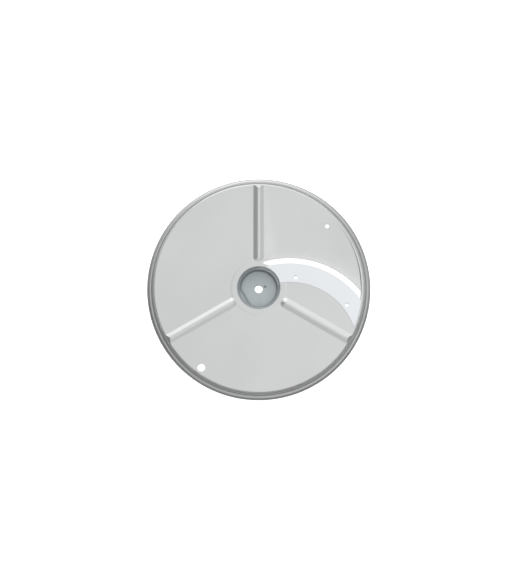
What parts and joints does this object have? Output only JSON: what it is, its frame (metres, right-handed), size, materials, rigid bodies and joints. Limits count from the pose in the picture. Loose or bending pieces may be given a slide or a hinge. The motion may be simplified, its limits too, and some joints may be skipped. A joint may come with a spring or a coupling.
{
  "type": "food processor slicing disc",
  "caption": "Round pressed steel slicing disc for a food processor: raised ribs, rolled rim, curved ground blade before a throat, and a grey moulded drive hub with a D-shaped cup and boss.",
  "frame": {"origin": "on the axis of the disc, in the foot of the drive boss, where the disc stands", "axes": "+Z along the axis of the disc, out of the working face; +Y along the rib that is nearest to the throat's inner end"},
  "size_m": [0.175, 0.175, 0.0124],
  "materials": {
    "plate": "satin",
    "blade": "ground and polished",
    "hub": "moulded, matte"
  },
  "bodies": {
    "root": {"plate": "plate", "blade": "blade", "hub": "hub"}
  },
  "joints": []
}
